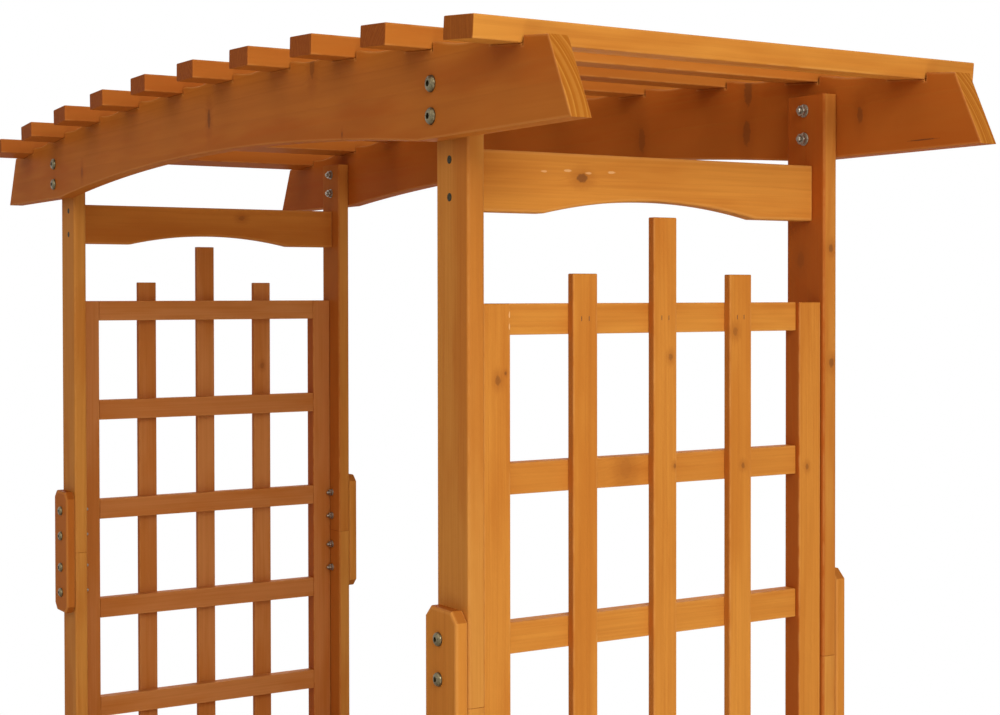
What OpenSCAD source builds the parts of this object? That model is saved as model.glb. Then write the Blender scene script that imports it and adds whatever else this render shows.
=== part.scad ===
// Garden arbor bench: an open frame of plank posts with lattice sides, a slatted
// seat and back, and an arched pergola roof.
// Origin at the centre of the footprint, on the ground. Seen from the front, +X is to
// the right, +Y to the back and +Z up. Millimetres.

/* [Frame] */
// Width over the posts
frame_w = 1434; // [1180:1:1760]
// Depth over the posts
frame_d = 544; // [450:1:660]
// Height of the posts
post_h = 1988; // [1850:1:2400]
// Width of a post plank
post_w = 70; // [58:1:84]
// Thickness of a post plank
post_t = 22; // [18:1:27]
// Rounding of the long edges of the planks
edge_r = 3.5; // [1:0.5:5]
// Height at which the lower and upper halves of a post meet
post_seam = 1277; // [1000:1:1400]

/* [Splice cleats] */
// Length of the cleat that ties the two halves of a post
cleat_h = 216; // [170:1:260]
// Thickness of a cleat
cleat_t = 16; // [12:1:20]
// Corner cut of a cleat
cleat_corner = 12; // [6:1:20]

/* [Roof beams] */
// How far the crown of a beam stands above the tops of the posts
beam_crown_up = 53; // [40:1:70]
// Height of a beam from its straight underside to its crown
beam_h = 133; // [120:1:160]
// Height of a beam at its cut ends
beam_end_h = 86; // [70:1:95]
// Thickness of a beam
beam_t = 25; // [20:1:30]
// How far a beam reaches past the posts
beam_over = 239; // [195:1:290]
// How far the end cut runs back from foot to top
beam_end_cut = 41; // [20:1:60]
// Rise of the arch cut in the underside
beam_rise = 31; // [20:1:40]

/* [Roof slats] */
// Number of roof slats
slat_n = 10; // [6:2:12]
// Width of a roof slat
slat_w = 60; // [50:1:72]
// Height of a roof slat
slat_h = 25; // [20:1:30]
// How far the slats reach past the posts, front and back
slat_over = 83; // [60:1:100]
// Distance from the middle of the end slat to the top corner of the beam
slat_end = 79; // [60:1:100]
// Depth of the notch that each slat sits in
notch_depth = 8; // [5:1:12]
// Clearance on each side of a slat in its notch
notch_gap = 0.8; // [0.3:0.1:1]
// Depth of the shallow hollow between two notches
hollow_depth = 4; // [2:1:6]
// Straight land left beside each notch
hollow_land = 14; // [8:1:20]

/* [Side braces] */
// Height of a side brace
brace_h = 70; // [58:1:84]
// Thickness of a side brace
brace_t = 22; // [18:1:27]
// Distance from the top of the posts down to the top of the brace
brace_drop = 90; // [85:1:110]
// Distance from the outer edge of the posts in to the brace
brace_inset = 21; // [15:1:25]
// Length of the straight foot at each end of the brace
brace_foot = 93; // [60:1:110]
// Rise of the arch cut in the underside of the brace
brace_rise = 17; // [10:1:25]

/* [Lattice sides] */
// Distance from the tops of the posts down to the lattice frame
lattice_drop = 263; // [255:1:300]
// Number of rails
rail_n = 10; // [6:1:10]
// Height of the foot of the lattice above the ground
lattice_foot = 69.5; // [20:0.5:120]
// Height of a rail
rail_h = 35.5; // [30:0.5:42]
// Thickness of a rail
rail_t = 20; // [15:1:24]
// Width of a stile
stile_w = 35.5; // [30:0.5:42]
// How far a stile stands proud of the rails
stile_proud = 6; // [3:1:9]
// Width of an upright
upright_w = 34; // [28:1:40]
// Thickness of an upright
upright_t = 11; // [9:1:14]
// Distance from the middle upright to the next one
upright_pitch = 115; // [95:1:125]
// How far the middle upright stands above the top rail
middle_up = 101; // [70:1:105]
// How far the other uprights stand above the top rail
side_up = 34; // [20:1:60]
// Clearance between a stile and the post beside it
lattice_gap = 0.8; // [0.3:0.1:1]

/* [Seat] */
// Height of the top of the seat
seat_h = 430; // [380:1:480]
// Number of seat slats
seat_n = 6; // [4:1:7]
// Gap between two seat slats
seat_slat_gap = 14; // [8:1:20]
// Thickness of a seat slat
seat_slat_t = 22; // [18:1:27]
// Clearance from a seat slat to the posts in front and behind
seat_gap = 3; // [1:0.5:6]
// Clearance from the ends of the seat and back boards to the lattice
board_gap = 4; // [2:1:8]
// Height of the rails and bearers that carry the seat
bearer_h = 70; // [58:1:84]
// Thickness of the bearers
bearer_t = 25; // [20:1:30]
// Clearance from a side bearer to the lattice
bearer_gap = 4; // [2:1:8]

/* [Back] */
// Number of backrest boards
back_n = 4; // [2:1:5]
// Height of the top of the backrest
back_h = 900; // [820:1:1000]
// Distance from one backrest board to the next
back_pitch = 104; // [90:1:125]
// Width of a backrest board
back_w = 70; // [58:1:84]
// Thickness of a backrest board
back_t = 22; // [18:1:27]

/* [Hidden] */
arc_steps = 48;                                // flats along each long arc of a beam
fine = 240;                                    // facets of the short arcs
over = 1;                                      // how far a cutter runs past a face
half_w = frame_w / 2;
half_d = frame_d / 2;
post_x = half_w - post_w / 2;                  // middle of a post, left to right
inner_x = half_w - post_w;                     // inner edge of a post
inner_y = half_d - post_t;                     // inner face of a post
crown_z = post_h + beam_crown_up;              // crown of the roof beams
beam_z = crown_z - beam_h;                     // straight underside of the beams
beam_foot = half_w + beam_over;                // half length of the beam's underside
beam_top = beam_foot - beam_end_cut;           // half length of the beam's top
top_r = arc_radius(beam_top, beam_h - beam_end_h);
top_z = crown_z - top_r;                       // centre of the top arc
slat_step = 2 * (beam_top - slat_end) / (slat_n - 1);
slat_seat = top_r - notch_depth;               // radius of the notch floors
lattice_top = post_h - lattice_drop;
rail_pitch = (lattice_top - lattice_foot - rail_h) / (rail_n - 1);
lattice_y = inner_y - lattice_gap;             // outer side of a stile
rail_x = half_w - upright_t;                   // outer face of the rails
lattice_in = rail_x - rail_t;                  // inner face of the lattice
bearer_top = seat_h - seat_slat_t;
bearer_x = lattice_in - bearer_gap;            // outer face of a side bearer
board_x = lattice_in - board_gap;              // half length of the seat and back boards
seat_step = (2 * (inner_y - seat_gap) + seat_slat_gap) / seat_n;
seat_slat_w = seat_step - seat_slat_gap;

wood = [0.80, 0.45, 0.16];
wood_dark = [0.66, 0.34, 0.12];
wood_light = [0.86, 0.52, 0.20];

SIDES = ["left", "right"];
ENDS = ["front", "back"];

// Radius of the arc that rises by rise over a chord of half length half.
function arc_radius(half, rise) = (half * half + rise * rise) / (2 * rise);

// Points of that arc from left to right, its two ends at height z0.
function arc_points(half, rise, z0) =
    let (r = arc_radius(half, rise))
    [for (i = [0:arc_steps]) let (x = half * (2 * i / arc_steps - 1))
        [x, z0 + rise - r + sqrt(r * r - x * x)]];

// Tilt of the roof slat k about the centre of the top arc, first slat at -X.
function slat_tilt(k) = asin(slat_step * (k - (slat_n + 1) / 2) / slat_seat);

// side_sign is -1 on the left (-X), 1 on the right; end_sign is -1 at the front.
function side_sign(s) = s == "left" ? -1 : 1;
function end_sign(e) = e == "front" ? -1 : 1;

// A plank outline w by t with its four corners rounded.
module plank_outline(w, t) {
    square([w - 2 * edge_r, t], center = true);
    square([w, t - 2 * edge_r], center = true);
    for (x = [-1, 1], y = [-1, 1])
        translate([x * (w / 2 - edge_r), y * (t / 2 - edge_r)]) circle(edge_r, $fn = 32);
}

// A plank standing on its end: w along X, t along Y, from z0 up to z1.
module standing_plank(w, t, z0, z1) {
    translate([0, 0, z0]) linear_extrude(z1 - z0) plank_outline(w, t);
}

// A plank lying along X, centred: t along Y, h along Z, its top at z = 0.
module plank_x(length, t, h) {
    translate([-length / 2, 0, -h / 2]) rotate([90, 0, 90]) linear_extrude(length) plank_outline(t, h);
}

// A plank lying along Y, centred: t along X, h along Z, its top at z = 0.
module plank_y(length, t, h) {
    translate([0, length / 2, -h / 2]) rotate([90, 0, 0]) linear_extrude(length) plank_outline(t, h);
}

// A disc that lies in the X-Z plane, its thickness from y = 0 to y = t.
module disc_xz(r, t) {
    translate([0, t, 0]) rotate([90, 0, 0]) cylinder(r = r, h = t, $fn = fine);
}

module post(e, s, part) {
    z = part == "lower" ? [0, post_seam] : [post_seam, post_h];
    color(wood) translate([side_sign(s) * post_x, end_sign(e) * (half_d - post_t / 2), 0])
        standing_plank(post_w, post_t, z[0], z[1]);
}

// The cleat lies on the outer face of a post, over the seam of its two halves.
module splice_cleat(e, s) {
    c = cleat_corner;
    w = post_w / 2;
    h = cleat_h / 2;
    y = e == "front" ? -half_d : half_d + cleat_t;
    color(wood_light) translate([side_sign(s) * post_x, y, post_seam]) rotate([90, 0, 0])
        linear_extrude(cleat_t)
            polygon([[-w, c - h], [c - w, -h], [w - c, -h], [w, c - h],
                     [w, h - c], [w - c, h], [c - w, h], [-w, h - c]]);
}

// The notch for one slat, cut square to the top arc.
module slat_notch(k) {
    w = slat_w + 2 * notch_gap;
    translate([0, -over, top_z]) rotate([0, slat_tilt(k), 0]) translate([-w / 2, 0, slat_seat])
        cube([w, beam_t + 2 * over, slat_h]);
}

// The shallow hollow in the beam's top edge between slat k and the next one.
module top_hollow(k) {
    half = slat_step / 2 - slat_w / 2 - hollow_land;
    r = arc_radius(half, hollow_depth);
    translate([0, -over, top_z]) rotate([0, (slat_tilt(k) + slat_tilt(k + 1)) / 2, 0])
        translate([0, 0, top_r + r - hollow_depth]) disc_xz(r, beam_t + 2 * over);
}

// One arched beam, its outline in X-Z and its thickness from y = 0.
module beam_blank() {
    under = arc_points(inner_x, beam_rise, 0);
    top = arc_points(beam_top, beam_h - beam_end_h, beam_end_h);
    difference() {
        translate([0, beam_t, beam_z]) rotate([90, 0, 0]) linear_extrude(beam_t)
            polygon(concat([[-beam_foot, 0]], under, [[beam_foot, 0]], [for (i = [arc_steps:-1:0]) top[i]]));
        for (k = [1:slat_n]) slat_notch(k);
        for (k = [1:slat_n - 1]) top_hollow(k);
    }
}

module beam(e) {
    color(wood_dark) translate([0, e == "front" ? -half_d - beam_t : half_d, 0]) beam_blank();
}

module roof_slat(k) {
    color(wood_light) translate([0, 0, top_z]) rotate([0, slat_tilt(k), 0])
        translate([0, 0, slat_seat + slat_h]) plank_y(frame_d + 2 * slat_over, slat_w, slat_h);
}

// A brace butts the inner faces of the two posts, its underside hollowed by an arc.
module side_brace(s) {
    half = inner_y - brace_foot;
    r = arc_radius(half, brace_rise);
    top = post_h - brace_drop;
    x = half_w - brace_inset - brace_t / 2;
    color(wood) translate([side_sign(s) * x, 0, top]) difference() {
        plank_y(2 * inner_y, brace_t, brace_h);
        translate([-brace_t / 2 - over, 0, brace_rise - brace_h - r]) rotate([0, 90, 0])
            cylinder(r = r, h = brace_t + 2 * over, $fn = fine);
    }
}

// A lattice side: rails inside, uprights outside, fused where they cross.
module lattice(s) {
    rail_y = lattice_y - stile_w;
    color(wood) mirror([s == "left" ? 1 : 0, 0, 0]) {
        for (k = [0:rail_n - 1])
            translate([lattice_in, -rail_y - over, lattice_top - k * rail_pitch - rail_h])
                cube([rail_t, 2 * (rail_y + over), rail_h]);
        for (y = [-lattice_y, rail_y])
            translate([lattice_in, y, lattice_foot])
                cube([rail_t + stile_proud, stile_w, lattice_top - lattice_foot]);
        for (j = [-1:1])
            translate([rail_x - over, j * upright_pitch - upright_w / 2, lattice_foot])
                cube([upright_t + over, upright_w,
                      lattice_top - lattice_foot + (j == 0 ? middle_up : side_up)]);
    }
}

// The front and back rails butt the inner edges of the posts.
module seat_rail(e) {
    color(wood_dark) translate([0, end_sign(e) * (half_d - post_t / 2), bearer_top])
        plank_x(2 * inner_x, post_t, bearer_h);
}

module seat_bearer(x) {
    color(wood_dark) translate([x, 0, bearer_top]) plank_y(2 * inner_y, bearer_t, bearer_h);
}

module seat_slat(k) {
    y = (k - (seat_n + 1) / 2) * seat_step;
    color(wood_light) translate([0, y, seat_h]) plank_x(2 * board_x, seat_slat_w, seat_slat_t);
}

// The backrest boards lie on the inner faces of the back posts, the first one on top.
module back_board(k) {
    color(wood_light) translate([0, inner_y - back_t / 2, back_h - (k - 1) * back_pitch])
        plank_x(2 * board_x, back_t, back_w);
}

for (e = ENDS, s = SIDES) {
    for (part = ["lower", "upper"])
        post(e, s, part);
    splice_cleat(e, s);
}
for (e = ENDS) {
    beam(e);
    seat_rail(e);
}
for (s = SIDES) {
    side_brace(s);
    lattice(s);
    seat_bearer(side_sign(s) * (bearer_x - bearer_t / 2));
}
seat_bearer(0);  // seat_bearer_middle
for (k = [1:slat_n])
    roof_slat(k);
for (k = [1:seat_n])
    seat_slat(k);
for (k = [1:back_n])
    back_board(k);
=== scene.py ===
from math import pi, radians

import bpy
import numpy as np
from mathutils import Matrix, Vector


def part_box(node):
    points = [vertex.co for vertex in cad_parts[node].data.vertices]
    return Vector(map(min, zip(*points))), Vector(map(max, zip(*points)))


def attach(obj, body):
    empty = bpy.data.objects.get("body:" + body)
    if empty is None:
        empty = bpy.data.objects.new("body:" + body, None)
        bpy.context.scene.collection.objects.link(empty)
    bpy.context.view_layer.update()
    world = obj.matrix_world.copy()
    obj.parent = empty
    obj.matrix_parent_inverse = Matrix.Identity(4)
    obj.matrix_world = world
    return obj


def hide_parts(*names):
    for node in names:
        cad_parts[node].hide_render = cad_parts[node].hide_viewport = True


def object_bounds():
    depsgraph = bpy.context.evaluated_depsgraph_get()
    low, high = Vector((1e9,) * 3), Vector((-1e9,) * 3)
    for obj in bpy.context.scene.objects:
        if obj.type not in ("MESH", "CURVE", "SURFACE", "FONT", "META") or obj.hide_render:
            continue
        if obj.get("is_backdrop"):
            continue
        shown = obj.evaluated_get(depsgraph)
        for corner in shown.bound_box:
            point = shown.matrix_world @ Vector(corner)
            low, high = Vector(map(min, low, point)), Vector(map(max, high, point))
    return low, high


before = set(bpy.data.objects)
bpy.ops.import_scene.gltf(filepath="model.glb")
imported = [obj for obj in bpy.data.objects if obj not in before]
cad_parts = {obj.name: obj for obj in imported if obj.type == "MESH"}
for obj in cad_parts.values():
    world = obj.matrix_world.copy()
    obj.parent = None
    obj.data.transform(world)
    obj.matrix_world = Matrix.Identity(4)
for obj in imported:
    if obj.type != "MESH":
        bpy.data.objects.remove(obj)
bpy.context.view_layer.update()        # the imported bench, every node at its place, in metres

rng = np.random.default_rng(11)
nodeNames = sorted(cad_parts)


# Small helpers for shader nodes.
def put(tree, kind, **settings):
    node = tree.nodes.new(kind)
    for key, value in settings.items():
        setattr(node, key, value)
    return node


def feed(tree, socket, value):      # a socket is linked, a plain value is typed in
    if isinstance(value, bpy.types.NodeSocket):
        tree.links.new(value, socket)
    else:
        socket.default_value = value


def calc(tree, operation, *values):
    node = put(tree, "ShaderNodeMath", operation=operation)
    for socket, value in zip(node.inputs, values):
        feed(tree, socket, value)
    return node.outputs[0]


def vec(tree, operation, *values):
    node = put(tree, "ShaderNodeVectorMath", operation=operation)
    sockets = [s for s in node.inputs if s.enabled]
    for socket, value in zip(sockets, values):
        feed(tree, socket, value)
    return node.outputs["Value" if operation in ("LENGTH", "DOT_PRODUCT") else "Vector"]


def ramp(tree, value, low, high, toLow=0.0, toHigh=1.0):     # smooth step from low to high
    node = put(tree, "ShaderNodeMapRange", interpolation_type="SMOOTHSTEP")
    for key, number in (("From Min", low), ("From Max", high), ("To Min", toLow), ("To Max", toHigh)):
        node.inputs[key].default_value = number
    feed(tree, node.inputs["Value"], value)
    return node.outputs["Result"]


def blendColor(tree, factor, first, second):
    node = put(tree, "ShaderNodeMix", data_type="RGBA")
    feed(tree, node.inputs["Factor"], factor)
    feed(tree, node.inputs[6], first)
    feed(tree, node.inputs[7], second)
    return node.outputs[2]


def noise(tree, vector, scale, detail=2.0, rough=0.5):
    node = put(tree, "ShaderNodeTexNoise")
    feed(tree, node.inputs["Vector"], vector)
    node.inputs["Scale"].default_value = scale
    node.inputs["Detail"].default_value = detail
    node.inputs["Roughness"].default_value = rough
    return node.outputs["Fac"]


def newGroup(name, inputs, outputs):
    tree = bpy.data.node_groups.new(name, "ShaderNodeTree")
    for label, kind in inputs:
        tree.interface.new_socket(name=label, in_out="INPUT", socket_type="NodeSocket" + kind)
    for label, kind in outputs:
        tree.interface.new_socket(name=label, in_out="OUTPUT", socket_type="NodeSocket" + kind)
    return tree, tree.nodes.new("NodeGroupInput"), tree.nodes.new("NodeGroupOutput")


def useGroup(tree, group, **values):
    node = put(tree, "ShaderNodeGroup", node_tree=group)
    for key, value in values.items():
        feed(tree, node.inputs[key], value)
    return node


# How a sawn board looks: the slow bend of its pith, uneven years, pores, clouds and pin knots.
sawn = {"slow": (0.9, 5.0, 5.0), "slowScale": 1.6, "wobble": 0.030,
        "uneven": 3.2, "unevenScale": 85.0, "lateWood": (0.25, 0.84), "yearEnd": (0.86, 1.0),
        "strongScale": 210.0, "strong": (0.35, 0.68), "weakest": 0.25,
        "thin": (5.0, 330.0, 330.0), "thinShare": 0.4,
        "thick": (5.0, 165.0, 165.0), "thickShare": 0.6,
        "cloud": (2.6, 15.0, 15.0), "pins": (2.6, 9.0, 9.0), "pinSize": (0.028, 0.050),
        "pinsKept": 0.45, "ringHeight": 0.6, "fibreHeight": 0.8}


# Figure of a sawn board. Vector is in the board's own axes, X along the grain, so the yearly
# rings are distances from a pith line that runs along X, a little bent by slow noise.
def makeFigureGroup():
    tree, inside, outside = newGroup(
        "firFigure",
        [("Vector", "Vector"), ("Bend", "Float"), ("Spacing", "Float")],
        [("Rings", "Float"), ("Fibre", "Float"), ("Cloud", "Float"), ("Pins", "Float"),
         ("Height", "Float")])
    vector = inside.outputs["Vector"]
    slow = vec(tree, "MULTIPLY", vector, sawn["slow"])
    wobble = calc(tree, "SUBTRACT", noise(tree, slow, sawn["slowScale"]), 0.5)
    apart = put(tree, "ShaderNodeSeparateXYZ")
    feed(tree, apart.inputs[0], vector)
    across = calc(tree, "ADD", apart.outputs[1], calc(tree, "MULTIPLY", wobble, sawn["wobble"]))
    across = calc(tree, "ADD", across, inside.outputs["Bend"])
    radius = calc(tree, "SQRT", calc(tree, "ADD", calc(tree, "MULTIPLY", across, across),
                                     calc(tree, "MULTIPLY", apart.outputs[2], apart.outputs[2])))
    line = put(tree, "ShaderNodeCombineXYZ")
    feed(tree, line.inputs[0], radius)
    uneven = calc(tree, "MULTIPLY", noise(tree, line.outputs[0], sawn["unevenScale"]), sawn["uneven"])
    year = calc(tree, "FRACT", calc(tree, "ADD", uneven,
                                    calc(tree, "DIVIDE", radius, inside.outputs["Spacing"])))
    late = calc(tree, "MULTIPLY", ramp(tree, year, *sawn["lateWood"]),
                ramp(tree, year, *sawn["yearEnd"], 1.0, 0.0))
    strong = ramp(tree, noise(tree, line.outputs[0], sawn["strongScale"], 1.0),
                  *sawn["strong"], sawn["weakest"], 1.0)
    rings = calc(tree, "MULTIPLY", late, strong)
    thin = noise(tree, vec(tree, "MULTIPLY", vector, sawn["thin"]), 1.0, 2.0, 0.6)
    thick = noise(tree, vec(tree, "MULTIPLY", vector, sawn["thick"]), 1.0, 3.0, 0.55)
    fibre = calc(tree, "ADD", calc(tree, "MULTIPLY", thin, sawn["thinShare"]),
                 calc(tree, "MULTIPLY", thick, sawn["thickShare"]))
    cloud = noise(tree, vec(tree, "MULTIPLY", vector, sawn["cloud"]), 1.0, 3.0, 0.6)
    cells = put(tree, "ShaderNodeTexVoronoi")
    feed(tree, cells.inputs["Vector"], vec(tree, "MULTIPLY", vector, sawn["pins"]))
    cells.inputs["Scale"].default_value = 1.0
    picked = put(tree, "ShaderNodeSeparateColor")
    feed(tree, picked.inputs[0], cells.outputs["Color"])
    pins = calc(tree, "MULTIPLY", ramp(tree, cells.outputs["Distance"], *sawn["pinSize"], 1.0, 0.0),
                calc(tree, "LESS_THAN", picked.outputs[0], sawn["pinsKept"]))
    height = calc(tree, "ADD", calc(tree, "MULTIPLY", rings, sawn["ringHeight"]),
                  calc(tree, "MULTIPLY", fibre, sawn["fibreHeight"]))
    for socket, value in zip(outside.inputs, (rings, fibre, cloud, pins, height)):
        feed(tree, socket, value)
    return tree


knotShape = {"roughScale": 240.0, "ragged": 0.8, "core": (0.65, 1.1), "halo": (0.9, 3.2),
             "pull": (0.4, 4.5), "pullShare": 0.9}


# A knot: a dark oval core with a reddish halo, and the bend that it gives the grain around it.
# Vector and Centre are in the frame's axes; Squeeze is 1 across the grain and less along it.
def makeKnotGroup():
    tree, inside, outside = newGroup(
        "firKnot",
        [("Vector", "Vector"), ("Centre", "Vector"), ("Squeeze", "Vector"), ("Across", "Vector"),
         ("Size", "Float")],
        [("Core", "Float"), ("Halo", "Float"), ("Bend", "Float")])
    away = vec(tree, "SUBTRACT", inside.outputs["Vector"], inside.outputs["Centre"])
    oval = vec(tree, "MULTIPLY", away, inside.outputs["Squeeze"])
    rough = noise(tree, inside.outputs["Vector"], knotShape["roughScale"])
    far = calc(tree, "DIVIDE", vec(tree, "LENGTH", oval), inside.outputs["Size"])
    ragged = calc(tree, "MULTIPLY", calc(tree, "SUBTRACT", rough, 0.5), knotShape["ragged"])
    far = calc(tree, "ADD", far, ragged)
    feed(tree, outside.inputs["Core"], ramp(tree, far, *knotShape["core"], 1.0, 0.0))
    feed(tree, outside.inputs["Halo"], ramp(tree, far, *knotShape["halo"], 1.0, 0.0))
    side = calc(tree, "SIGN", vec(tree, "DOT_PRODUCT", away, inside.outputs["Across"]))
    pull = calc(tree, "MULTIPLY", side, inside.outputs["Size"])
    feed(tree, outside.inputs["Bend"],
         calc(tree, "MULTIPLY", pull, ramp(tree, far, *knotShape["pull"], knotShape["pullShare"], 0.0)))
    return tree


wearAndHighlightShape = {"patchScale": 45.0, "patch": (0.25, 0.7), "edge": (0.1, 1.0)}


# Wear on the long edges, with a painted highlight: how near a point is to two long faces of the board
# at once.
def makeWearAndHighlightGroup():
    tree, inside, outside = newGroup(
        "edgeWearAndHighlight",
        [("Vector", "Vector"), ("Half", "Vector"), ("Width", "Float")],
        [("WearAndHighlight", "Float")])
    away = vec(tree, "ABSOLUTE", inside.outputs["Vector"])
    depth = vec(tree, "SUBTRACT", inside.outputs["Half"], away)
    part = put(tree, "ShaderNodeSeparateXYZ")
    feed(tree, part.inputs[0], depth)
    nearest = calc(tree, "MAXIMUM", part.outputs[1], part.outputs[2])
    near = calc(tree, "DIVIDE", nearest, inside.outputs["Width"])
    patch = noise(tree, inside.outputs["Vector"], wearAndHighlightShape["patchScale"], 3.0)
    edge = calc(tree, "MULTIPLY", ramp(tree, near, *wearAndHighlightShape["edge"], 1.0, 0.0),
                ramp(tree, patch, *wearAndHighlightShape["patch"]))
    feed(tree, outside.inputs["WearAndHighlight"], edge)
    return tree


figureGroup = makeFigureGroup()
knotGroup = makeKnotGroup()
wearAndHighlightGroup = makeWearAndHighlightGroup()

# What a user would change about the finish: colours are linear. The pale edges carry a painted
# highlight and the left lattice's early colour paints shade.
stain = {
    "early": (0.660, 0.278, 0.046, 1.0),
    "postEarly": (0.650, 0.300, 0.060, 1.0),
    "late": (0.430, 0.135, 0.019, 1.0),
    "cloud": (0.500, 0.160, 0.020, 1.0),
    "red": (0.415, 0.100, 0.013, 1.0),
    # pale: the colour of the pale edges, wear with a painted highlight
    "pale": (0.780, 0.400, 0.120, 1.0),
    "knot": (0.170, 0.058, 0.018, 1.0),
    "halo": (0.330, 0.090, 0.014, 1.0),
    "end": (0.245, 0.052, 0.004, 1.0),
    "beamEnd": (0.380, 0.122, 0.009, 1.0),
    "beamEndRing": (0.760, 0.400, 0.060, 1.0),
    # a bluer early colour for the left lattice, whose inner face stands in shade: painted shade
    "leftShadeEarly": (0.640, 0.275, 0.085, 1.0),
    "fleck": (0.850, 0.520, 0.240, 1.0),
    "spacing": 0.0050,
    "ringShare": 0.20,
    "endRingExtra": 0.45,
    "beamEndRingShare": 0.36,
    "fibre": (0.42, 0.66),
    "fibreShare": 0.26,
    "clouds": (0.42, 0.64),
    "cloudShare": 0.60,
    "redShare": 0.90,
    "endFacing": (0.55, 0.85),
    "endShare": 0.85,
    "wearAndHighlightWidth": 0.0034,
    "wearAndHighlightShare": 0.30,
    "endWearAndHighlightShare": 0.70,
    "pinShare": 0.60,
    "haloShare": 0.36,
    "fleckSqueeze": (0.28, 1.0, 1.0),
    "crackSqueeze": (0.035, 0.2, 1.0),
    "roughness": (0.44, 0.60),
    "roughFrom": (0.3, 0.7),
    "coat": 0.12,
    "coatRoughness": 0.38,
    "bump": 0.00030,
    "bumpStrength": 0.5,
}


# Stained fir. knots, flecks and cracks hold (x, y, z, size, strength) in the frame's axes, for
# boards whose grain runs along one of them. The board's own place, turn and tone, which holds
# painted shade too, come from what its mesh carries.
def makeFir(name, knots=(), along="x", spacing=stain["spacing"], rings=stain["ringShare"],
            squeeze=(0.7, 1.0, 1.0), flecks=(), cracks=(), endColor=None,
            clouds=stain["cloudShare"], early=stain["early"]):
    material = bpy.data.materials.new(name)
    material.use_nodes = True
    tree = material.node_tree
    shader = tree.nodes["Principled BSDF"]
    here = put(tree, "ShaderNodeAttribute", attribute_name="boardPos").outputs["Vector"]
    moved = put(tree, "ShaderNodeAttribute", attribute_name="boardShift").outputs["Vector"]
    half = put(tree, "ShaderNodeAttribute", attribute_name="boardHalf").outputs["Vector"]
    grain = put(tree, "ShaderNodeAttribute", attribute_name="boardGrain").outputs["Vector"]
    tone = put(tree, "ShaderNodeAttribute", attribute_name="boardToneAndShade").outputs["Fac"]
    edge = put(tree, "ShaderNodeAttribute", attribute_name="boardEdge").outputs["Fac"]
    place = put(tree, "ShaderNodeTexCoord").outputs["Object"]
    order = {"x": (0, 1, 2), "y": (1, 0, 2), "z": (2, 1, 0)}[along]
    across = {"x": (0.0, 0.0, 1.0), "y": (0.0, 0.0, 1.0), "z": (0.0, 1.0, 0.0)}[along]

    def spot(x, y, z, size, oval):
        return useGroup(tree, knotGroup, Vector=place, Centre=(x, y, z), Size=size,
                        Squeeze=tuple(oval[i] for i in order), Across=across)

    def strongest(sofar, node, strength):
        return calc(tree, "MAXIMUM", sofar, calc(tree, "MULTIPLY", node.outputs["Core"], strength))

    bend, core, halo, fleck = 0.0, 0.0, 0.0, 0.0
    for x, y, z, size, strength in knots:
        knot = spot(x, y, z, size, squeeze)
        bend = calc(tree, "ADD", bend, knot.outputs["Bend"])
        core = strongest(core, knot, strength)
        halo = calc(tree, "MAXIMUM", halo, knot.outputs["Halo"])
    for x, y, z, size, strength in cracks:
        core = strongest(core, spot(x, y, z, size, stain["crackSqueeze"]), strength)
    for x, y, z, size, strength in flecks:
        fleck = strongest(fleck, spot(x, y, z, size, stain["fleckSqueeze"]), strength)
    figure = useGroup(tree, figureGroup, Vector=vec(tree, "ADD", here, moved), Bend=bend,
                      Spacing=spacing)
    facing = put(tree, "ShaderNodeNewGeometry").outputs["Normal"]
    end = ramp(tree, calc(tree, "ABSOLUTE", vec(tree, "DOT_PRODUCT", facing, grain)),
               *stain["endFacing"])

    def shaded(color, mask, share, over):       # color with over laid on by share of a mask
        return blendColor(tree, calc(tree, "MULTIPLY", mask, share), color, over)

    patch = ramp(tree, figure.outputs["Cloud"], *stain["clouds"], 0.0, clouds)
    color = blendColor(tree, patch, early, stain["cloud"])
    # tone: a random tone for each board, with painted shade added on faces towards -Y and on the back
    # posts
    color = shaded(color, tone, stain["redShare"], stain["red"])
    color = shaded(color, end, stain["endShare"], endColor or stain["end"])
    mark = calc(tree, "ADD", rings, calc(tree, "MULTIPLY", end, stain["endRingExtra"]))
    color = shaded(color, figure.outputs["Rings"], mark, stain["late"])
    if endColor:
        cut = calc(tree, "MULTIPLY", end, stain["beamEndRingShare"])
        color = shaded(color, cut, figure.outputs["Rings"], stain["beamEndRing"])
    streak = ramp(tree, figure.outputs["Fibre"], *stain["fibre"], 0.0, stain["fibreShare"])
    color = blendColor(tree, streak, color, stain["late"])
    # Pale edges: wear, and a painted highlight along the eased long edges and the end roundings.
    wearAndHighlight = useGroup(tree, wearAndHighlightGroup, Vector=here, Half=half, Width=stain["wearAndHighlightWidth"])
    wornAndLit = calc(tree, "MAXIMUM", wearAndHighlight.outputs["WearAndHighlight"], calc(tree, "MULTIPLY", edge, stain["endWearAndHighlightShare"]))
    color = shaded(color, wornAndLit, stain["wearAndHighlightShare"], stain["pale"])
    color = shaded(color, figure.outputs["Pins"], stain["pinShare"], stain["knot"])
    if knots:
        color = shaded(color, halo, stain["haloShare"], stain["halo"])
        color = blendColor(tree, core, color, stain["knot"])
    if flecks:
        color = blendColor(tree, fleck, color, stain["fleck"])
    feed(tree, shader.inputs["Base Color"], color)
    feed(tree, shader.inputs["Roughness"],
         ramp(tree, figure.outputs["Fibre"], *stain["roughFrom"], *stain["roughness"]))
    shader.inputs["Specular IOR Level"].default_value = 0.0
    shader.inputs["Coat Weight"].default_value = stain["coat"]
    shader.inputs["Coat Roughness"].default_value = stain["coatRoughness"]
    bump = put(tree, "ShaderNodeBump")
    bump.inputs["Strength"].default_value = stain["bumpStrength"]
    bump.inputs["Distance"].default_value = stain["bump"]
    feed(tree, bump.inputs["Height"], figure.outputs["Height"])
    feed(tree, shader.inputs["Normal"], bump.outputs["Normal"])
    return material


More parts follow.
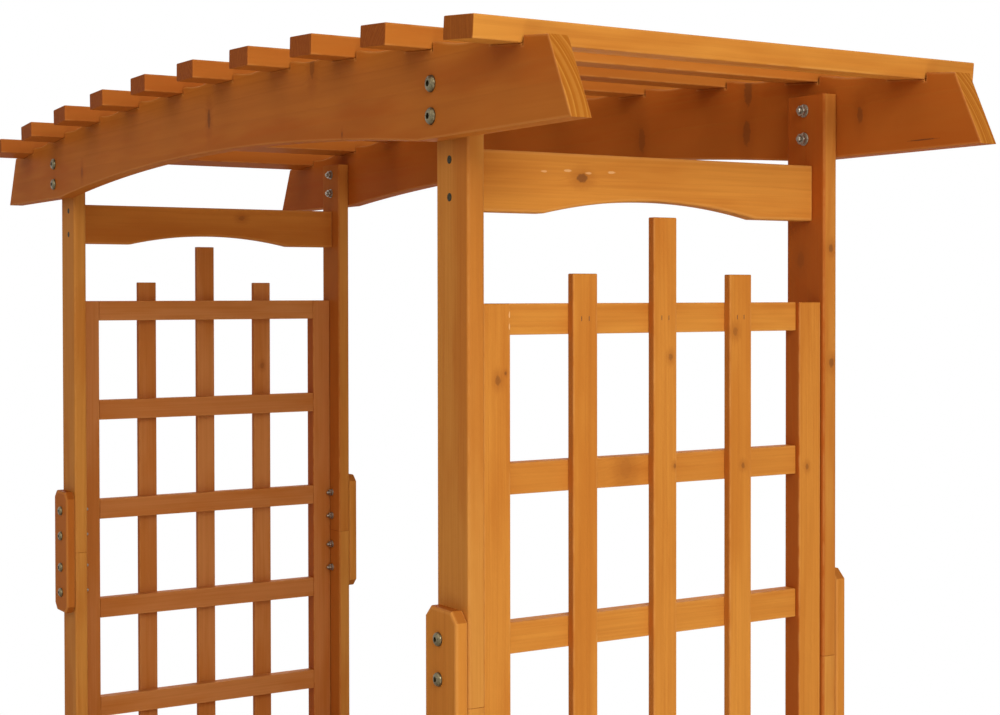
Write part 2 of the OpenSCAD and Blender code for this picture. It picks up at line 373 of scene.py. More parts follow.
# Each finish is a linear colour and a roughness.
zinc = {"spotScale": 900.0, "tarnish": 0.42, "dulled": (0.42, 0.68), "rougher": 0.25,
        "roughFrom": (0.35, 0.7), "metal": 0.9, "bump": 0.0001,
        "head": ((0.190, 0.160, 0.092), 0.26), "nut": ((0.42, 0.38, 0.31), 0.28),
        "screw": ((0.050, 0.045, 0.026), 0.60), "staple": ((0.20, 0.10, 0.05), 0.60)}


# Zinc that has dulled: patches of tarnish change its colour and roughness.
def makeZinc(name, color, rough):
    material = bpy.data.materials.new(name)
    material.use_nodes = True
    tree = material.node_tree
    shader = tree.nodes["Principled BSDF"]
    where = put(tree, "ShaderNodeTexCoord").outputs["Object"]
    spots = noise(tree, where, zinc["spotScale"], 4.0, 0.6)
    tarnish = tuple(zinc["tarnish"] * c for c in color) + (1.0,)
    feed(tree, shader.inputs["Base Color"],
         blendColor(tree, ramp(tree, spots, *zinc["dulled"]), color + (1.0,), tarnish))
    shader.inputs["Metallic"].default_value = zinc["metal"]
    feed(tree, shader.inputs["Roughness"],
         ramp(tree, spots, *zinc["roughFrom"], rough, rough + zinc["rougher"]))
    bump = put(tree, "ShaderNodeBump")
    bump.inputs["Distance"].default_value = zinc["bump"]
    feed(tree, bump.inputs["Height"], spots)
    feed(tree, shader.inputs["Normal"], bump.outputs["Normal"])
    return material


print("materials: groups ready")


# Outline pulled in by an amount: each point moves along the bisector of its two edges, by
# amount*(n1 + n2)/(1 + n1.n2), where n1 and n2 are the edges' inward normals.
def pullIn(outline, amount):
    before = outline - np.roll(outline, 1, axis=0)
    after = np.roll(outline, -1, axis=0) - outline
    before /= np.linalg.norm(before, axis=1)[:, None]
    after /= np.linalg.norm(after, axis=1)[:, None]
    normalA = np.stack([-before[:, 1], before[:, 0]], axis=1)
    normalB = np.stack([-after[:, 1], after[:, 0]], axis=1)
    spread = np.maximum(1.0 + (normalA * normalB).sum(axis=1), 0.5)
    return outline + amount * (normalA + normalB) / spread[:, None]


# Outline (a, b) carried along c from -length/2 to length/2. The two ends are rounded over by
# ease: the outline is pulled in by ease*(1 - sin t) where the end is ease*(1 - cos t) away, and
# one more ring lies further in on each flat end. edge is 1 on the rounding and 0 elsewhere.
def carry(outline, length, ease, steps=3, inner=0.0018):
    t = np.linspace(0.0, pi / 2, steps + 1)
    pulled = np.concatenate([[ease + inner], ease * (1.0 - np.sin(t))])
    along = np.concatenate([[0.0], ease * (1.0 - np.cos(t))]) - length / 2
    edge = np.concatenate([[0.0], np.ones(steps), [0.0]])
    if inner == 0.0:
        pulled, along, edge = pulled[1:], along[1:], 0.0 * edge[1:]
    pulled = np.concatenate([pulled, pulled[::-1]])
    along = np.concatenate([along, -along[::-1]])
    edge = np.repeat(np.concatenate([edge, edge[::-1]]), len(outline))
    rings = np.stack([np.column_stack([pullIn(outline, p), np.full(len(outline), c)])
                      for p, c in zip(pulled, along)])
    count = len(outline)
    i = np.arange(count)
    r = np.arange(len(rings) - 1)[:, None] * count
    j = (i + 1) % count
    quads = np.stack([r + i, r + j, r + j + count, r + i + count], axis=-1).reshape(-1, 4)
    last = (len(rings) - 1) * count
    faces = quads.tolist() + [i[::-1].tolist(), (last + i).tolist()]
    return rings.reshape(-1, 3), faces, edge


# Rectangle a by b with corners rounded to r, as four quarter turns, counter-clockwise.
def roundedRectangle(a, b, r, steps=3):
    t = (np.arange(4)[:, None] * pi / 2 + np.linspace(0.0, pi / 2, steps + 1)).ravel()
    corner = np.repeat(np.array([[1, 1], [-1, 1], [-1, -1], [1, -1]]), steps + 1, axis=0)
    centre = corner * (np.array([a, b]) / 2 - r)
    return centre + r * np.column_stack([np.cos(t), np.sin(t)])


# Heights at places x of an arc over a chord of half length half that rises by rise: with
# R = (half^2 + rise^2)/(2*rise), they are rise - R + the square root of R^2 - x^2.
def arcOver(x, half, rise):
    radius = (half * half + rise * rise) / (2 * rise)
    return rise - radius + np.sqrt(radius * radius - x * x)


directions = {"x": (1, 0, 0), "y": (0, 1, 0), "z": (0, 0, 1), "-x": (-1, 0, 0), "-y": (0, -1, 0)}


# Turn of a board: its grain runs along the first direction and its width along the second.
def turn(grain, width):
    a, b = np.array(directions[grain], float), np.array(directions[width], float)
    return np.column_stack([a, b, np.cross(a, b)])


def tilted(matrix, angle):      # turned about the Y axis of the frame
    c, s = np.cos(angle), np.sin(angle)
    return np.array([[c, 0, s], [0, 1, 0], [-s, 0, c]]) @ matrix


pith = {"sideways": (0.03, 0.09), "deep": (0.015, 0.05), "along": 9.0}     # where the pith lies
noWearAndHighlight = (9.0, 9.0, 9.0)        # half sizes so large that no edge of the board is near
planks = {"radius": 0.0035, "ease": 0.0012, "frontShadeDepth": 0.7}


# A board in the frame, with what the wood materials read at each of its points.
def board(shape, centre, matrix, half, tone, shift=None):
    points, faces, edge = shape
    if shift is None:
        off = rng.uniform(*pith["sideways"]), rng.uniform(*pith["deep"])
        side = rng.choice([-1.0, 1.0], 2)
        shift = rng.uniform(-pith["along"], pith["along"]), side[0] * off[0], side[1] * off[1]
    return {"points": points @ matrix.T + np.array(centre, float), "faces": faces, "local": points,
            "half": np.array(half, float), "shift": np.array(shift, float), "tone": tone,
            "grain": matrix[:, 0], "edge": edge}


# A rounded rectangle carried along a board's grain. Its face towards -Y can take more tone, as
# painted shade that makes that side darker and redder.
def plank(length, width, thick, centre, matrix, tone, frontShade=0.0, radius=planks["radius"],
          ease=planks["ease"]):
    points, faces, edge = carry(roundedRectangle(width, thick, radius), length, ease, inner=0.0)
    shape = points[:, [2, 0, 1]], faces, edge
    one = board(shape, centre, matrix, (length / 2, width / 2, thick / 2), tone)
    depth = one["points"][:, 1] - one["points"][:, 1].min()
    # painted shade: more tone on the face towards -Y
    one["tone"] = tone + frontShade * (depth < planks["frontShadeDepth"] * radius)
    return one


# One mesh object from boards, riding on the bench and standing for its CAD nodes.
def makePiece(name, boards, material, nodes):
    starts = np.cumsum([0] + [len(b["points"]) for b in boards])[:-1]
    faces = [[v + int(s) for v in face] for b, s in zip(boards, starts) for face in b["faces"]]
    mesh = bpy.data.meshes.new(name)
    mesh.from_pydata(np.concatenate([b["points"] for b in boards]), [], faces)
    mesh.materials.append(material)
    if "local" in boards[0]:
        counts = [len(b["points"]) for b in boards]
        columns = {
            "boardPos": np.concatenate([b["local"] for b in boards]),
            "boardShift": np.repeat([b["shift"] for b in boards], counts, axis=0),
            "boardHalf": np.repeat([b["half"] for b in boards], counts, axis=0),
            "boardGrain": np.repeat([b["grain"] for b in boards], counts, axis=0)}
        for key, values in columns.items():
            mesh.attributes.new(key, "FLOAT_VECTOR", "POINT").data.foreach_set(
                "vector", values.astype(np.float32).ravel())
        mesh.attributes.new("boardToneAndShade", "FLOAT", "POINT").data.foreach_set(
            "value", np.concatenate([np.broadcast_to(b["tone"], c) for b, c in zip(boards, counts)]
                                    ).astype(np.float32))
        mesh.attributes.new("boardEdge", "FLOAT", "POINT").data.foreach_set(
            "value", np.concatenate([b["edge"] for b in boards]).astype(np.float32))
    mesh.validate()
    piece = bpy.data.objects.new(name, mesh)
    bpy.context.scene.collection.objects.link(piece)
    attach(piece, "root")
    if nodes:
        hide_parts(*nodes)


def centreAndSize(node):        # of a CAD node's box
    low, high = (np.array(corner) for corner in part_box(node))
    return (low + high) / 2, high - low


firPlain = makeFir("fir_plain")
firPost = makeFir("fir_post", early=stain["postEarly"])

# Posts: planks upright, each half with its own tone; the back upper halves take the most, as painted
# shade under the roof.
posts = {"radius": 0.0035, "ease": 0.0008,
         "tone": {"front_upper": 0.14, "front_lower": 0.10, "back_upper": 0.26, "back_lower": 0.16},
         # more tone on each post's face towards -Y, as painted shade, strongest on the back posts
         "frontShade": {"front_left": 0.10, "front_right": 0.10, "back_left": 0.55, "back_right": 0.85},
         "knots": [(0.717, 0.262, 1.793, 0.0040, 0.6), (0.717, 0.263, 1.648, 0.0045, 0.6),
                   (0.674, 0.250, 1.779, 0.0075, 0.25)]}
firPostKnotty = makeFir("fir_post_knotty", posts["knots"], "z", early=stain["postEarly"])
for node in [n for n in nodeNames if n.startswith("post_")]:
    centre, size = centreAndSize(node)
    _, depthSide, side, part = node.split("_")
    one = plank(size[2], size[0], size[1], centre, turn("z", "x"),
                posts["tone"][depthSide + "_" + part], posts["frontShade"][depthSide + "_" + side],
                posts["radius"], posts["ease"])
    material = firPostKnotty if node.startswith("post_back_right") else firPost
    makePiece(node + "_wood", [one], material, [node])

# Cleats over the seams: a rectangle with cut corners, carried through its thickness.
cleats = {"corner": 0.012, "ease": 0.0035,
          "tone": {"front_left": 0.75, "front_right": 0.25, "back_left": 0.05, "back_right": 0.30}}
for node in [n for n in nodeNames if n.startswith("splice_cleat_")]:
    centre, size = centreAndSize(node)
    h, w, c = size[2] / 2, size[0] / 2, cleats["corner"]
    outline = np.array([[h, c - w], [h, w - c], [h - c, w], [c - h, w],
                        [-h, w - c], [-h, c - w], [c - h, -w], [h - c, -w]])
    one = board(carry(outline, size[1], cleats["ease"]), centre, turn("z", "x"),
                (h, w, size[1] / 2), cleats["tone"][node[len("splice_cleat_"):]])
    makePiece(node + "_wood", [one], firPlain, [node])

# Side braces: a rectangle whose lower side is an arch between two feet.
braces = {"foot": 0.093, "rise": 0.017, "archPoints": 41, "ease": 0.0025,
          "tone": {"left": 0.45, "right": 0.15},
          "knots": {"left": [(-0.674, 0.06, 1.88, 0.0050, 0.35)],
                    "right": [(0.696, -0.105, 1.870, 0.0058, 0.72)]},
          "flecks": {"left": [], "right": [(0.696, -0.158, 1.876, 0.0013, 0.55),
                                           (0.696, -0.125, 1.878, 0.0016, 0.6),
                                           (0.696, -0.096, 1.876, 0.0014, 0.55),
                                           (0.696, -0.063, 1.878, 0.0016, 0.6)]}}
for side in ("left", "right"):
    node = "side_brace_" + side
    centre, size = centreAndSize(node)
    half, h = size[1] / 2, size[2] / 2
    a = half - braces["foot"]       # half of the arch's chord
    x = np.linspace(-a, a, braces["archPoints"])
    arch = np.column_stack([x, arcOver(x, a, braces["rise"]) - h])
    outline = np.concatenate([[[-half, -h]], arch, [[half, -h], [half, h], [-half, h]]])
    material = makeFir("fir_brace_" + side, braces["knots"][side], "y",
                       flecks=braces["flecks"][side])
    one = board(carry(outline, size[0], braces["ease"]), centre, turn("y", "z"), noWearAndHighlight,
                braces["tone"][side])
    makePiece(node + "_wood", [one], material, [node])
print("posts, cleats and braces made")

# Seat and back: planks, with a range of tones for each kind.
bench = {"railTone": (0.15, 0.5), "bearerTone": (0.3, 0.6), "slatTone": (0.05, 0.4)}
for node in [n for n in nodeNames if n.startswith(("seat_rail_", "back_board_"))]:
    centre, size = centreAndSize(node)
    one = plank(size[0], size[2], size[1], centre, turn("x", "z"), rng.uniform(*bench["railTone"]))
    makePiece(node + "_wood", [one], firPlain, [node])

for node in [n for n in nodeNames if n.startswith("seat_bearer_")]:
    centre, size = centreAndSize(node)
    one = plank(size[1], size[2], size[0], centre, turn("y", "z"), rng.uniform(*bench["bearerTone"]))
    makePiece(node + "_wood", [one], firPlain, [node])

for node in [n for n in nodeNames if n.startswith("seat_slat_")]:
    centre, size = centreAndSize(node)
    one = plank(size[0], size[1], size[2], centre, turn("x", "y"), rng.uniform(*bench["slatTone"]))
    makePiece(node + "_wood", [one], firPlain, [node])
print("seat and back made")

slats = {"count": 10, "width": 0.060, "height": 0.025, "radius": 0.0016, "ease": 0.0010,
         "tone": (0.90, 0.82, 0.90, 0.84, 0.96, 0.85, 0.72, 0.70, 0.55, 0.0)}
slatCentres = np.array([centreAndSize(f"roof_slat_{k + 1}")[0] for k in range(slats["count"])])
slatLength = centreAndSize("roof_slat_1")[1][1]

# The slats stand square on one arc: its radius follows from how far the end one is below the
# middle one, (x2^2 - x1^2)/2h + h/2, and the sine of each tilt is its x over that radius.
endX, endZ = slatCentres[-1, 0], slatCentres[-1, 2]
midX, midZ = slatCentres[slats["count"] // 2, 0], slatCentres[slats["count"] // 2, 2]
drop = midZ - endZ
slatRadius = ((endX ** 2 - midX ** 2) / drop + drop) / 2
slatTilts = np.arcsin(slatCentres[:, 0] / slatRadius)
for k in range(slats["count"]):
    one = plank(slatLength, slats["width"], slats["height"], slatCentres[k],
                tilted(turn("y", "-x"), slatTilts[k]), slats["tone"][k],
                radius=slats["radius"], ease=slats["ease"])
    makePiece(f"roof_slat_{k + 1}_wood", [one], firPlain, [f"roof_slat_{k + 1}"])

beams = {"height": 0.133, "endHeight": 0.086, "endCut": 0.041, "rise": 0.031, "archHalf": 0.647,
         "notchDepth": 0.008, "notchGap": 0.0008, "hollowDepth": 0.004, "land": 0.014,
         "archPoints": 61, "hollowPoints": 13,
         "ease": 0.0013, "tone": {"front": 0.66, "back": 0.96},
         "kerf": 0.0022, "shift": {"front": (3.1, -0.020, -0.118), "back": (-4.3, -0.012, -0.130)},
         "spacing": 0.0062, "rings": 0.42, "squeeze": (1.2, 1.0, 0.5), "clouds": 0.95,
         "knots": {"front": [(0.039, -0.297, 1.986, 0.0072, 0.7), (0.377, -0.297, 2.023, 0.0085, 0.5),
                             (-0.525, -0.297, 1.945, 0.0050, 0.5), (0.460, -0.297, 1.930, 0.0020, 0.9)],
                   "back": [(0.758, 0.272, 1.958, 0.0062, 0.5), (0.544, 0.272, 2.009, 0.0105, 0.6),
                            (0.541, 0.272, 1.953, 0.0100, 0.5), (0.304, 0.272, 1.962, 0.0100, 0.4)]},
         "cracks": {"front": [], "back": [(0.864, 0.272, 1.919, 0.0009, 0.9)]}}


# Outline of a beam, counter-clockwise. The top is an arc of radius R; each notch has its corners
# at R and at R - depth, in the axes of its slat, with a saw kerf at its right, and the hollow
# between two notches is a shallow arc.
def beamOutline(foot):
    top = foot - beams["endCut"]
    sag = beams["height"] - beams["endHeight"]
    radius = (top * top + sag * sag) / (2 * sag)
    middle = np.array([0.0, beams["height"] - radius])
    w = slats["width"] / 2 + beams["notchGap"]
    depth = radius - beams["notchDepth"]
    lip = np.sqrt(radius * radius - w * w)
    notch = np.array([[-w, lip], [-w, depth], [w, depth], [w, depth - beams["kerf"]],
                      [w + beams["kerf"], depth - beams["kerf"]], [w + beams["kerf"], lip]])
    c, s = np.cos(slatTilts)[:, None], np.sin(slatTilts)[:, None]
    notches = np.stack([notch[:, 0] * c + notch[:, 1] * s, notch[:, 1] * c - notch[:, 0] * s], axis=-1)
    between = (slatTilts[1:] + slatTilts[:-1]) / 2
    a = (slatCentres[1, 0] - slatCentres[0, 0]) / 2 - slats["width"] / 2 - beams["land"]
    x = np.linspace(-a, a, beams["hollowPoints"])
    y = np.sqrt(radius * radius - a * a) - arcOver(x, a, beams["hollowDepth"])
    c, s = np.cos(between)[:, None], np.sin(between)[:, None]
    hollows = np.stack([x * c + y * s, y * c - x * s], axis=-1)
    paired = np.concatenate([notches[:-1], hollows], axis=1).reshape(-1, 2)
    upper = (np.concatenate([paired, notches[-1]]) + middle)[::-1]
    x = np.linspace(-beams["archHalf"], beams["archHalf"], beams["archPoints"])
    arch = np.column_stack([x, arcOver(x, beams["archHalf"], beams["rise"])])
    ends = np.array([[foot, 0.0], [top, beams["endHeight"]]])
    return np.concatenate([[[-foot, 0.0]], arch, ends, upper, [[-top, beams["endHeight"]]]])


for side in ("front", "back"):
    node = "beam_" + side
    low, high = (np.array(corner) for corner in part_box(node))
    outline = beamOutline(high[0])
    centre = np.array([0.0, (low[1] + high[1]) / 2, low[2]])
    material = makeFir("fir_beam_" + side, beams["knots"][side], "x", beams["spacing"],
                       beams["rings"], beams["squeeze"], cracks=beams["cracks"][side],
                       endColor=stain["beamEnd"], clouds=beams["clouds"])
    one = board(carry(outline, high[1] - low[1], beams["ease"]), centre, turn("x", "z"), noWearAndHighlight,
                beams["tone"][side], beams["shift"][side])
    makePiece(node + "_wood", [one], material, [node])
print("roof made")

# Lattice sides: rails butted between two stiles, and three uprights across their outer face.
lattice = {"rails": 10, "railHeight": 0.0355, "railThick": 0.020, "stileWidth": 0.0355,
           "stileProud": 0.006, "uprightWidth": 0.034, "uprightThick": 0.011, "uprightPitch": 0.115,
           "middleUp": 0.101, "sideUp": 0.034, "radius": 0.0012, "tone": {"left": 0.28, "right": 0.16},
           "toneRange": (-0.1, 0.1), "railToneRange": (-0.1, 0.15),
           # stiles and uprights take more tone on their face towards -Y, as painted shade
           "stileFrontShade": 1.0, "uprightFrontShade": 0.45,
           # the left lattice's bluer early colour is painted shade
           "early": {"left": stain["leftShadeEarly"], "right": stain["early"]},
           "flecks": {"left": [], "right": [(0.712, -0.2148, 1.7123, 0.0010, 0.8),
                                            (0.712, -0.2148, 1.6991, 0.0010, 0.8)]},
           "knots": {"left": [(-0.706, 0.115, 1.60, 0.004, 0.4)],
                     "right": [(0.712, -0.230, 1.639, 0.0040, 0.5), (0.712, -0.220, 1.647, 0.0017, 0.6),
                               (0.717, 0.008, 1.661, 0.0032, 0.45),
                               (0.717, 0.1065, 1.690, 0.0040, 0.35),
                               (0.717, 0.119, 1.526, 0.0028, 0.5), (0.712, 0.227, 1.518, 0.0028, 0.5),
                               (0.717, 0.014, 1.531, 0.0022, 0.5),
                               (0.706, -0.050, 1.531, 0.0090, 0.12)]}}
for side, sign in (("left", -1.0), ("right", 1.0)):
    node = "lattice_" + side
    low, high = (np.array(corner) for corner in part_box(node))
    outer = high[0] if sign > 0 else low[0]
    foot, top, reach = low[2], high[2] - lattice["middleUp"], high[1]
    railFace = outer - sign * lattice["uprightThick"]
    railX = railFace - sign * lattice["railThick"] / 2
    railLength = 2 * (reach - lattice["stileWidth"])
    boards = []
    tone = lattice["tone"][side]
    for z in np.linspace(top, foot + lattice["railHeight"], lattice["rails"]):
        boards.append(plank(railLength, lattice["railHeight"], lattice["railThick"],
                            (railX, 0.0, z - lattice["railHeight"] / 2), turn("y", "z"),
                            tone + rng.uniform(*lattice["railToneRange"]),
                            radius=lattice["radius"]))
    stileThick = lattice["railThick"] + lattice["stileProud"]
    stileX = railFace + sign * (lattice["stileProud"] - stileThick / 2)
    for y in (-1.0, 1.0):
        boards.append(plank(top - foot, lattice["stileWidth"], stileThick,
                            (stileX, y * (reach - lattice["stileWidth"] / 2), (top + foot) / 2),
                            turn("z", "y"), tone + rng.uniform(*lattice["toneRange"]),
                            lattice["stileFrontShade"], lattice["radius"]))
    for k in (-1, 0, 1):
        peak = top + (lattice["middleUp"] if k == 0 else lattice["sideUp"])
        boards.append(plank(peak - foot, lattice["uprightWidth"], lattice["uprightThick"],
                            (railFace + sign * lattice["uprightThick"] / 2,
                             k * lattice["uprightPitch"], (peak + foot) / 2),
                            turn("z", "y"), tone + rng.uniform(*lattice["toneRange"]),
                            lattice["uprightFrontShade"], lattice["radius"]))
    material = makeFir("fir_lattice_" + side, lattice["knots"][side], "z",
                       flecks=lattice["flecks"][side], early=lattice["early"][side])
    makePiece(node + "_wood", boards, material, [node])
print("lattice made")


# Rows of (radius, height, share of a hexagon) turned about an axis. The radius of a row at angle t
# is r*(1 - share) + r*share*cos(30)/cos(t mod 60 - 30), and both ends are closed by flat caps.
def turned(rows, place, axis, sides=24):
    rows = np.array(rows, float)
    t = np.arange(sides) * 2 * pi / sides
    hexagon = np.cos(pi / 6) / np.cos(np.mod(t, pi / 3) - pi / 6)
    r = rows[:, :1] * (1.0 - rows[:, 2:] + rows[:, 2:] * hexagon)
    grid = np.stack([r * np.cos(t), r * np.sin(t), np.repeat(rows[:, 1:2], sides, axis=1)], axis=-1)
    i = np.arange(sides)
    j = (i + 1) % sides
    q = np.arange(len(rows) - 1)[:, None] * sides
    quads = np.stack([q + i, q + j, q + j + sides, q + i + sides], axis=-1).reshape(-1, 4)
    last = (len(rows) - 1) * sides
    faces = quads.tolist() + [i[::-1].tolist(), (last + i).tolist()]
    return {"points": grid.reshape(-1, 3) @ turn(*axis).T + np.array(place), "faces": faces}


bolts = {"beam": 0.0097, "beamNut": 0.0084, "beamX": 0.680, "beamZ": (1.969, 1.933),
         "cleat": 0.0080, "cleatNut": 0.0068, "cleatX": 0.6785,
         "cleatZ": (0.073, 0.028, -0.028, -0.073), "seam": 1.277, "socketShadowSides": 12}


# Each profile is rows of (radius, height, share of a hexagon) for a bolt of radius r, in metres.
def boltHead(r):
    return [(r, -0.001, 0), (r, 0.0012, 0), (0.96 * r, 0.0024, 0), (0.82 * r, 0.0038, 0),
            (0.62 * r, 0.0047, 0), (0.46 * r, 0.0050, 0), (0.40 * r, 0.0050, 1), (0.38 * r, 0.0014, 1)]


# A dark disc set in a head's recess, as painted shadow.
def boltSocketShadow(r):
    return [(0.37 * r, 0.0012, 1), (0.37 * r, 0.0026, 1), (0.16 * r, 0.0020, 1)]


def boltNut(r):
    return [(r, -0.001, 0), (r, 0.0012, 0), (0.97 * r, 0.0015, 0), (0.90 * r, 0.0015, 1),
            (0.90 * r, 0.0060, 1), (0.80 * r, 0.0070, 0.3), (0.52 * r, 0.0070, 0),
            (0.44 * r, 0.0064, 0), (0.42 * r, 0.0100, 0), (0.34 * r, 0.0112, 0)]


zincHead = makeZinc("zinc_head", *zinc["head"])
zincNut = makeZinc("zinc_nut", *zinc["nut"])
# Dark zinc for the screws, also used for the painted shadow in the bolt heads.
darkScrewAndShadow = makeZinc("dark_screw", *zinc["screw"])
outward = {"front": ("x", "z"), "back": ("-x", "z")}       # the third axis of each turn is -Y or +Y
inward = {"front": ("-x", "z"), "back": ("x", "z")}
for side, sign in (("front", -1.0), ("back", 1.0)):
    beamFace = max(abs(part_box("beam_" + side)[0][1]), abs(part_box("beam_" + side)[1][1]))
    postBox = [abs(c[1]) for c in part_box(f"post_{side}_left_upper")]
    cleatBox = [abs(c[1]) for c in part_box(f"splice_cleat_{side}_left")]
    heads, nuts, sockets = [], [], []
    for x in (-1.0, 1.0):
        for z in bolts["beamZ"]:
            place = x * bolts["beamX"], sign * beamFace, z
            heads.append(turned(boltHead(bolts["beam"]), place, outward[side]))
            sockets.append(turned(boltSocketShadow(bolts["beam"]), place, outward[side],
                                  bolts["socketShadowSides"]))
            place = x * bolts["beamX"], sign * min(postBox), z
            nuts.append(turned(boltNut(bolts["beamNut"]), place, inward[side]))
        for z in bolts["cleatZ"]:
            place = x * bolts["cleatX"], sign * max(cleatBox), bolts["seam"] + z
            heads.append(turned(boltHead(bolts["cleat"]), place, outward[side]))
            sockets.append(turned(boltSocketShadow(bolts["cleat"]), place, outward[side],
                                  bolts["socketShadowSides"]))
            place = x * bolts["cleatX"], sign * min(postBox), bolts["seam"] + z
            nuts.append(turned(boltNut(bolts["cleatNut"]), place, inward[side]))
    makePiece(f"bolt_heads_{side}", heads, zincHead, [])
    makePiece(f"bolt_nuts_{side}", nuts, zincNut, [])
    # the dark discs in the heads' recesses are painted shadow
    makePiece(f"bolt_socket_shadows_{side}", sockets, darkScrewAndShadow, [])

screws = {"radius": 0.0048, "braceX": 0.677, "braceZ": (1.886, 1.844), "bearerZ": (0.391, 0.355),
          "sides": 16, "small": 0.0040, "slatX": (-0.668, 0.0, 0.668), "boardX": (-0.665, 0.665),
          "pair": (-0.018, 0.018)}


def screwHead(r):
    return [(r, -0.0010, 0), (r, 0.0002, 0), (0.90 * r, 0.0005, 0), (0.50 * r, 0.0007, 0),
            (0.15 * r, 0.0007, 0)]


for side, sign in (("front", -1.0), ("back", 1.0)):
    postFace = max(abs(c[1]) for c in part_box(f"post_{side}_left_upper"))
    marks = [turned(screwHead(screws["radius"]), (x * screws["braceX"], sign * postFace, z),
                    outward[side], screws["sides"])
             for x in (-1.0, 1.0) for z in screws["braceZ"] + screws["bearerZ"]]
    makePiece(f"post_screws_{side}", marks, darkScrewAndShadow, [])

seatMarks = []
for node in [n for n in nodeNames if n.startswith("seat_slat_")]:
    centre, size = centreAndSize(node)
    for x in screws["slatX"]:
        for y in screws["pair"]:
            place = x, centre[1] + y, centre[2] + size[2] / 2
            seatMarks.append(turned(screwHead(screws["small"]), place, ("x", "y"), screws["sides"]))
for node in [n for n in nodeNames if n.startswith("back_board_")]:
    centre, size = centreAndSize(node)
    for x in screws["boardX"]:
        for z in screws["pair"]:
            place = x, centre[1] - size[1] / 2, centre[2] + z
            seatMarks.append(turned(screwHead(screws["small"]), place, ("x", "z"), screws["sides"]))
makePiece("seat_screws", seatMarks, darkScrewAndShadow, [])

# Staple legs: two short upright slits where an upright crosses the top and the bottom rail.
staples = {"apart": 0.0105, "tall": 0.0056, "wide": 0.0009, "radius": 0.0004, "proud": 0.0004,
           "ease": 0.0001}
legs = []
low, high = (np.array(corner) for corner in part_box("lattice_right"))
top = high[2] - lattice["middleUp"] - lattice["railHeight"] / 2
slit = roundedRectangle(staples["tall"], staples["wide"], staples["radius"])
points, faces, _ = carry(slit, staples["proud"], staples["ease"], 1, 0.0)
for sign, matrix in ((-1.0, turn("z", "-y")), (1.0, turn("z", "y"))):
    for z in (top, low[2] + lattice["railHeight"] / 2):
        for k in (-1, 0, 1):
            for apart in (-0.5, 0.5):
                y = k * lattice["uprightPitch"] + apart * staples["apart"]
                place = np.array([sign * high[0], y, z])
                legs.append({"points": points @ matrix.T + place, "faces": faces})
makePiece("lattice_staples", legs, makeZinc("staple_leg", *zinc["staple"]), [])
print("bolts, nuts, screws and staples made")

# The camera looks along forward, from its yaw and its tilt down, and is rolled a little.
view = {"place": (2.3415, -1.2402, 1.7340), "yaw": 0.5561, "down": 0.01539, "roll": -0.00141,
        "lens": 61.87, "sensor": 36.0, "shiftDown": -0.0356}
yaw, down = view["yaw"], view["down"]
forward = Vector((-np.cos(yaw) * np.cos(down), np.sin(yaw) * np.cos(down), -np.sin(down)))
across = forward.cross(Vector((0, 0, 1))).normalized()
up = across.cross(forward)
c, s = np.cos(view["roll"]), np.sin(view["roll"])
across, up = c * across + s * up, c * up - s * across
cameraData = bpy.data.cameras.new("camera")
cameraData.lens = view["lens"]
cameraData.sensor_width = view["sensor"]
cameraData.shift_y = view["shiftDown"]
camera = bpy.data.objects.new("camera", cameraData)
camera.matrix_world = Matrix.Translation(view["place"]) @ Matrix(
    (across, up, -forward)).transposed().to_4x4()
bpy.context.scene.collection.objects.link(camera)
bpy.context.scene.camera = camera

lamps = {
    "key": {"power": 103.0, "color": (1.0, 1.0, 0.97), "size": 2.4,
            "place": (4.05, -0.80, 3.40), "aim": (0.65, 0.0, 1.65)},
    "front": {"power": 47.0, "color": (1.0, 0.80, 0.62), "size": 4.6,
              "place": (0.9, -3.6, 4.2), "aim": (0.65, 0.0, 1.65)},
    "low": {"power": 6.0, "color": (1.0, 0.93, 0.84), "size": 1.0,
            "place": (2.3, -0.50, 0.62), "aim": (0.2, 0.0, 2.0)}}
sky = {"color": (1.0, 0.77, 0.62, 1.0), "level": 0.27}
fillLight = {"level": 1.5, "from": (-0.75, 0.55, 0.38), "spread": 60.0}

# Soft round lamps, each aimed at a point.
for name, lampSet in lamps.items():
    data = bpy.data.lights.new(name, "AREA")
    data.energy = lampSet["power"]
    data.color = lampSet["color"]
    data.shape = "DISK"
    data.size = lampSet["size"]
    lamp = bpy.data.objects.new(name, data)
    lamp.location = lampSet["place"]
    away = Vector(lampSet["place"]) - Vector(lampSet["aim"])
    lamp.rotation_euler = away.to_track_quat("Z", "Y").to_euler()
    lamp.visible_camera = False
    bpy.context.scene.collection.objects.link(lamp)

fillData = bpy.data.lights.new("fill", "SUN")
fillData.energy = fillLight["level"]
fillData.angle = radians(fillLight["spread"])
fill = bpy.data.objects.new("fill", fillData)
fill.rotation_euler = Vector(fillLight["from"]).to_track_quat("Z", "Y").to_euler()
bpy.context.scene.collection.objects.link(fill)


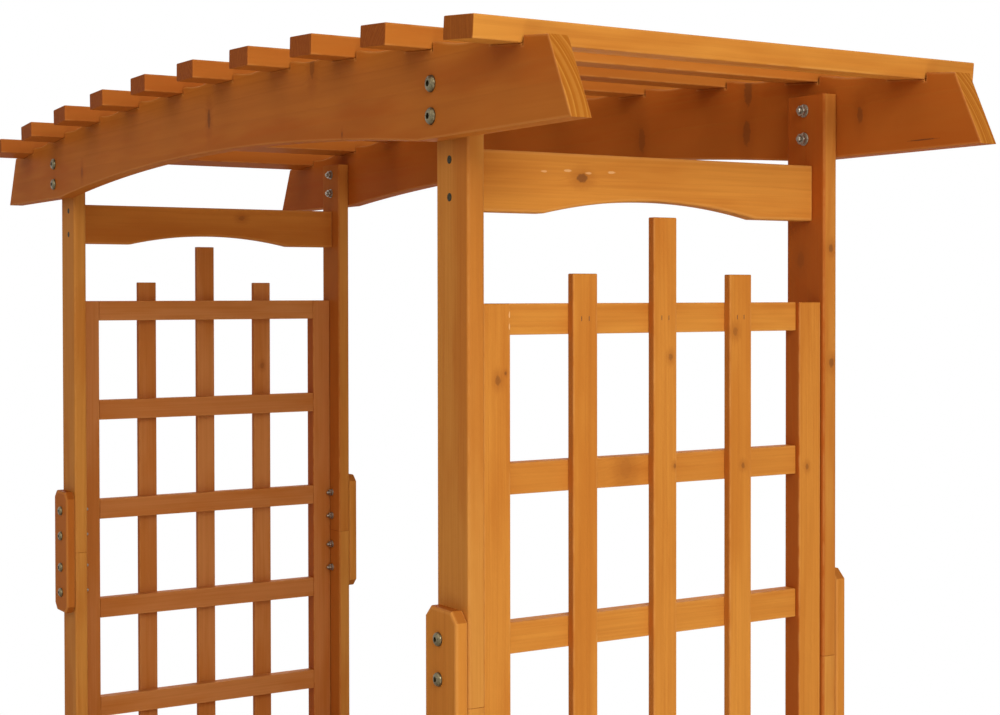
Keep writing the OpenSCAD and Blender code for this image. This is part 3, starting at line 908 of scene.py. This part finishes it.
# White behind everything that the camera, a mirror or glass sees, and a plain sky for light.
def makeWorld():
    world = bpy.data.worlds.new("sky")
    bpy.context.scene.world = world
    world.use_nodes = True
    tree = world.node_tree
    path = put(tree, "ShaderNodeLightPath")
    mirrored = calc(tree, "MAXIMUM", path.outputs["Is Glossy Ray"],
                    path.outputs["Is Transmission Ray"])
    seen = calc(tree, "MAXIMUM", path.outputs["Is Camera Ray"], mirrored)
    shine = put(tree, "ShaderNodeBackground")
    shine.inputs["Color"].default_value = sky["color"]
    shine.inputs["Strength"].default_value = sky["level"]
    white = put(tree, "ShaderNodeBackground")
    white.inputs["Color"].default_value = (1.0, 1.0, 1.0, 1.0)
    white.inputs["Strength"].default_value = 1.0
    mix = put(tree, "ShaderNodeMixShader")
    feed(tree, mix.inputs[0], seen)
    feed(tree, mix.inputs[1], shine.outputs[0])
    feed(tree, mix.inputs[2], white.outputs[0])
    feed(tree, tree.nodes["World Output"].inputs["Surface"], mix.outputs[0])


ground = {"radius": 4.2, "clear": 1.6, "sides": 96, "nearWhite": 0.35, "roughness": 0.9,
          "pale": (0.84, 0.88, 0.90, 1.0), "dim": (0.79, 0.83, 0.85, 1.0), "grainScale": 60.0}


# Pale floor, a disc of points radius*(cos t, sin t), that turns into the white behind it
# towards its rim.
def makeFloor():
    t = np.linspace(0.0, 2 * pi, ground["sides"] + 1)[:-1]
    rim = np.column_stack([ground["radius"] * np.cos(t), ground["radius"] * np.sin(t), 0.0 * t])
    mesh = bpy.data.meshes.new("floor")
    mesh.from_pydata(rim, [], [list(range(len(rim)))])
    material = bpy.data.materials.new("floor")
    material.use_nodes = True
    tree = material.node_tree
    shader = tree.nodes["Principled BSDF"]
    where = put(tree, "ShaderNodeTexCoord").outputs["Object"]
    grain = noise(tree, where, ground["grainScale"], 3.0)
    feed(tree, shader.inputs["Base Color"], blendColor(tree, grain, ground["pale"], ground["dim"]))
    shader.inputs["Roughness"].default_value = ground["roughness"]
    glow = put(tree, "ShaderNodeEmission")
    glow.inputs["Strength"].default_value = 1.0
    far = ramp(tree, vec(tree, "LENGTH", where), ground["clear"], ground["radius"],
               ground["nearWhite"], 1.0)
    path = put(tree, "ShaderNodeLightPath")
    factor = calc(tree, "MULTIPLY", far, path.outputs["Is Camera Ray"])
    mix = put(tree, "ShaderNodeMixShader")
    feed(tree, mix.inputs[0], factor)
    feed(tree, mix.inputs[1], shader.outputs[0])
    feed(tree, mix.inputs[2], glow.outputs[0])
    feed(tree, tree.nodes["Material Output"].inputs["Surface"], mix.outputs[0])
    mesh.materials.append(material)
    floor = bpy.data.objects.new("floor", mesh)
    bpy.context.scene.collection.objects.link(floor)
    floor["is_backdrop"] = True


makeWorld()
makeFloor()
bpy.context.scene.view_settings.view_transform = "Standard"
print("camera, light and floor ready")

low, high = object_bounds()
